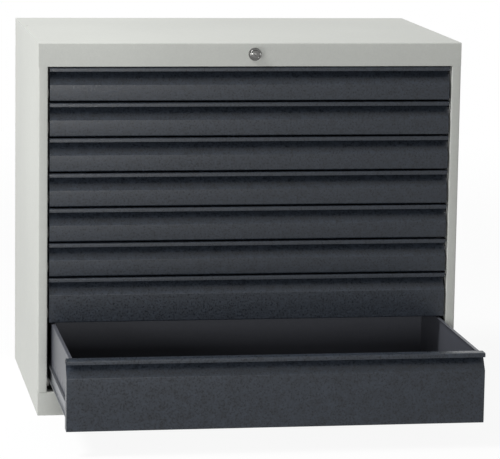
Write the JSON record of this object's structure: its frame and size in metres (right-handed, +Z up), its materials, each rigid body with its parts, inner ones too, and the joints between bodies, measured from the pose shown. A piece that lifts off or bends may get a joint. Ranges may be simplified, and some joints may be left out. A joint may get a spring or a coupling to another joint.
{
  "type": "flat file cabinet",
  "caption": "Low steel drawer cabinet with full-width handle-lip drawers on nylon rollers, a grey casing and one central lock, the lowest drawer part way open.",
  "frame": {"origin": "middle of the casing's footprint, on the floor", "axes": "+Z up, the drawer fronts face -Y, +X to the right as seen from the front"},
  "size_m": [0.91, 0.975, 0.8],
  "materials": {
    "casing_paint": "fine textured powder coat, light grey",
    "front_paint": "fine textured powder coat, anthracite grey",
    "tray_paint": "smooth powder coat, anthracite grey",
    "rail_zinc": "zinc plated, satin",
    "lock_chrome": "polished chrome",
    "roller_nylon": "natural nylon",
    "buffer_rubber": "black rubber"
  },
  "bodies": {
    "casing": {"top_panel": "casing_paint", "left_side_panel": "casing_paint", "right_side_panel": "casing_paint", "back_panel": "casing_paint", "base_panel": "casing_paint", "plinth_panel": "casing_paint", "left_posts": "rail_zinc", "right_posts": "rail_zinc", "left_cabinet_rails": "rail_zinc", "right_cabinet_rails": "rail_zinc", "rail_screws": "rail_zinc", "rail_buffers": "buffer_rubber", "lock_housing": "lock_chrome", "lock_nut": "rail_zinc", "lock_guides": "rail_zinc"},
    "lock": {"lock_barrel": "lock_chrome", "lock_cam": "rail_zinc"},
    "lock_rod": {"lock_rod": "rail_zinc"},
    "lock_strip": {"lock_strip": "rail_zinc", "lock_tabs": "rail_zinc"},
    "drawer_1": {"drawer_1_front": "front_paint", "drawer_1_tray": "tray_paint", "drawer_1_rails": "rail_zinc"},
    "drawer_1_rear_rollers": {"drawer_1_rear_rollers": "roller_nylon"},
    "drawer_1_front_rollers": {"drawer_1_front_rollers": "roller_nylon"},
    "drawer_2": {"drawer_2_front": "front_paint", "drawer_2_tray": "tray_paint", "drawer_2_rails": "rail_zinc"},
    "drawer_2_rear_rollers": {"drawer_2_rear_rollers": "roller_nylon"},
    "drawer_2_front_rollers": {"drawer_2_front_rollers": "roller_nylon"},
    "drawer_3": {"drawer_3_front": "front_paint", "drawer_3_tray": "tray_paint", "drawer_3_rails": "rail_zinc"},
    "drawer_3_rear_rollers": {"drawer_3_rear_rollers": "roller_nylon"},
    "drawer_3_front_rollers": {"drawer_3_front_rollers": "roller_nylon"},
    "drawer_4": {"drawer_4_front": "front_paint", "drawer_4_tray": "tray_paint", "drawer_4_rails": "rail_zinc"},
    "drawer_4_rear_rollers": {"drawer_4_rear_rollers": "roller_nylon"},
    "drawer_4_front_rollers": {"drawer_4_front_rollers": "roller_nylon"},
    "drawer_5": {"drawer_5_front": "front_paint", "drawer_5_tray": "tray_paint", "drawer_5_rails": "rail_zinc"},
    "drawer_5_rear_rollers": {"drawer_5_rear_rollers": "roller_nylon"},
    "drawer_5_front_rollers": {"drawer_5_front_rollers": "roller_nylon"},
    "drawer_6": {"drawer_6_front": "front_paint", "drawer_6_tray": "tray_paint", "drawer_6_rails": "rail_zinc"},
    "drawer_6_rear_rollers": {"drawer_6_rear_rollers": "roller_nylon"},
    "drawer_6_front_rollers": {"drawer_6_front_rollers": "roller_nylon"},
    "drawer_7": {"drawer_7_front": "front_paint", "drawer_7_tray": "tray_paint", "drawer_7_rails": "rail_zinc"},
    "drawer_7_rear_rollers": {"drawer_7_rear_rollers": "roller_nylon"},
    "drawer_7_front_rollers": {"drawer_7_front_rollers": "roller_nylon"},
    "drawer_8": {"drawer_8_front": "front_paint", "drawer_8_tray": "tray_paint", "drawer_8_rails": "rail_zinc"},
    "drawer_8_rear_rollers": {"drawer_8_rear_rollers": "roller_nylon"},
    "drawer_8_front_rollers": {"drawer_8_front_rollers": "roller_nylon"}
  },
  "joints": [
    {"name": "lock_turn", "type": "hinge", "parent": "casing", "child": "lock", "pos_m": [0.005, -0.3, 0.776], "axis": [0, 1, 0], "range_deg": [0, 90]},
    {"name": "lock_rod_slide", "type": "slide", "parent": "casing", "child": "lock_rod", "axis": [1, 0, 0], "range_m": [0, 0.01414]},
    {"name": "lock_strip_slide", "type": "slide", "parent": "casing", "child": "lock_strip", "axis": [0, 0, -1], "range_m": [0, 0.01414]},
    {"name": "drawer_1_slide", "type": "slide", "parent": "casing", "child": "drawer_1", "axis": [0, -1, 0], "range_m": [0, 0.44]},
    {"name": "drawer_1_rear_roller_spin", "type": "hinge", "parent": "drawer_1", "child": "drawer_1_rear_rollers", "pos_m": [0, 0.235, 0.71815], "axis": [1, 0, 0], "continuous": true},
    {"name": "drawer_1_front_roller_spin", "type": "hinge", "parent": "casing", "child": "drawer_1_front_rollers", "pos_m": [0, -0.248, 0.68965], "axis": [1, 0, 0], "continuous": true},
    {"name": "drawer_2_slide", "type": "slide", "parent": "casing", "child": "drawer_2", "axis": [0, -1, 0], "range_m": [0, 0.44]},
    {"name": "drawer_2_rear_roller_spin", "type": "hinge", "parent": "drawer_2", "child": "drawer_2_rear_rollers", "pos_m": [0, 0.235, 0.64315], "axis": [1, 0, 0], "continuous": true},
    {"name": "drawer_2_front_roller_spin", "type": "hinge", "parent": "casing", "child": "drawer_2_front_rollers", "pos_m": [0, -0.248, 0.61465], "axis": [1, 0, 0], "continuous": true},
    {"name": "drawer_3_slide", "type": "slide", "parent": "casing", "child": "drawer_3", "axis": [0, -1, 0], "range_m": [0, 0.44]},
    {"name": "drawer_3_rear_roller_spin", "type": "hinge", "parent": "drawer_3", "child": "drawer_3_rear_rollers", "pos_m": [0, 0.235, 0.56815], "axis": [1, 0, 0], "continuous": true},
    {"name": "drawer_3_front_roller_spin", "type": "hinge", "parent": "casing", "child": "drawer_3_front_rollers", "pos_m": [0, -0.248, 0.53965], "axis": [1, 0, 0], "continuous": true},
    {"name": "drawer_4_slide", "type": "slide", "parent": "casing", "child": "drawer_4", "axis": [0, -1, 0], "range_m": [0, 0.44]},
    {"name": "drawer_4_rear_roller_spin", "type": "hinge", "parent": "drawer_4", "child": "drawer_4_rear_rollers", "pos_m": [0, 0.235, 0.49315], "axis": [1, 0, 0], "continuous": true},
    {"name": "drawer_4_front_roller_spin", "type": "hinge", "parent": "casing", "child": "drawer_4_front_rollers", "pos_m": [0, -0.248, 0.46465], "axis": [1, 0, 0], "continuous": true},
    {"name": "drawer_5_slide", "type": "slide", "parent": "casing", "child": "drawer_5", "axis": [0, -1, 0], "range_m": [0, 0.44]},
    {"name": "drawer_5_rear_roller_spin", "type": "hinge", "parent": "drawer_5", "child": "drawer_5_rear_rollers", "pos_m": [0, 0.235, 0.41815], "axis": [1, 0, 0], "continuous": true},
    {"name": "drawer_5_front_roller_spin", "type": "hinge", "parent": "casing", "child": "drawer_5_front_rollers", "pos_m": [0, -0.248, 0.38965], "axis": [1, 0, 0], "continuous": true},
    {"name": "drawer_6_slide", "type": "slide", "parent": "casing", "child": "drawer_6", "axis": [0, -1, 0], "range_m": [0, 0.44]},
    {"name": "drawer_6_rear_roller_spin", "type": "hinge", "parent": "drawer_6", "child": "drawer_6_rear_rollers", "pos_m": [0, 0.235, 0.34315], "axis": [1, 0, 0], "continuous": true},
    {"name": "drawer_6_front_roller_spin", "type": "hinge", "parent": "casing", "child": "drawer_6_front_rollers", "pos_m": [0, -0.248, 0.31465], "axis": [1, 0, 0], "continuous": true},
    {"name": "drawer_7_slide", "type": "slide", "parent": "casing", "child": "drawer_7", "axis": [0, -1, 0], "range_m": [0, 0.44]},
    {"name": "drawer_7_rear_roller_spin", "type": "hinge", "parent": "drawer_7", "child": "drawer_7_rear_rollers", "pos_m": [0, 0.235, 0.24315], "axis": [1, 0, 0], "continuous": true},
    {"name": "drawer_7_front_roller_spin", "type": "hinge", "parent": "casing", "child": "drawer_7_front_rollers", "pos_m": [0, -0.248, 0.21465], "axis": [1, 0, 0], "continuous": true},
    {"name": "drawer_8_slide", "type": "slide", "parent": "casing", "child": "drawer_8", "axis": [0, -1, 0], "range_m": [-0.375, 0.065]},
    {"name": "drawer_8_rear_roller_spin", "type": "hinge", "parent": "drawer_8", "child": "drawer_8_rear_rollers", "pos_m": [0, -0.14, 0.09315], "axis": [1, 0, 0], "continuous": true},
    {"name": "drawer_8_front_roller_spin", "type": "hinge", "parent": "casing", "child": "drawer_8_front_rollers", "pos_m": [0, -0.248, 0.06465], "axis": [1, 0, 0], "continuous": true}
  ],
  "couplings": [
    {"joint": "lock_turn", "follows": "lock_rod_slide", "rad_per_m": 111.07},
    {"joint": "lock_strip_slide", "follows": "lock_rod_slide", "ratio": 1},
    {"joint": "drawer_1_rear_roller_spin", "follows": "drawer_1_slide", "rad_per_m": 90.909},
    {"joint": "drawer_1_front_roller_spin", "follows": "drawer_1_slide", "rad_per_m": 83.333},
    {"joint": "drawer_2_rear_roller_spin", "follows": "drawer_2_slide", "rad_per_m": 90.909},
    {"joint": "drawer_2_front_roller_spin", "follows": "drawer_2_slide", "rad_per_m": 83.333},
    {"joint": "drawer_3_rear_roller_spin", "follows": "drawer_3_slide", "rad_per_m": 90.909},
    {"joint": "drawer_3_front_roller_spin", "follows": "drawer_3_slide", "rad_per_m": 83.333},
    {"joint": "drawer_4_rear_roller_spin", "follows": "drawer_4_slide", "rad_per_m": 90.909},
    {"joint": "drawer_4_front_roller_spin", "follows": "drawer_4_slide", "rad_per_m": 83.333},
    {"joint": "drawer_5_rear_roller_spin", "follows": "drawer_5_slide", "rad_per_m": 90.909},
    {"joint": "drawer_5_front_roller_spin", "follows": "drawer_5_slide", "rad_per_m": 83.333},
    {"joint": "drawer_6_rear_roller_spin", "follows": "drawer_6_slide", "rad_per_m": 90.909},
    {"joint": "drawer_6_front_roller_spin", "follows": "drawer_6_slide", "rad_per_m": 83.333},
    {"joint": "drawer_7_rear_roller_spin", "follows": "drawer_7_slide", "rad_per_m": 90.909},
    {"joint": "drawer_7_front_roller_spin", "follows": "drawer_7_slide", "rad_per_m": 83.333},
    {"joint": "drawer_8_rear_roller_spin", "follows": "drawer_8_slide", "rad_per_m": 90.909},
    {"joint": "drawer_8_front_roller_spin", "follows": "drawer_8_slide", "rad_per_m": 83.333}
  ]
}
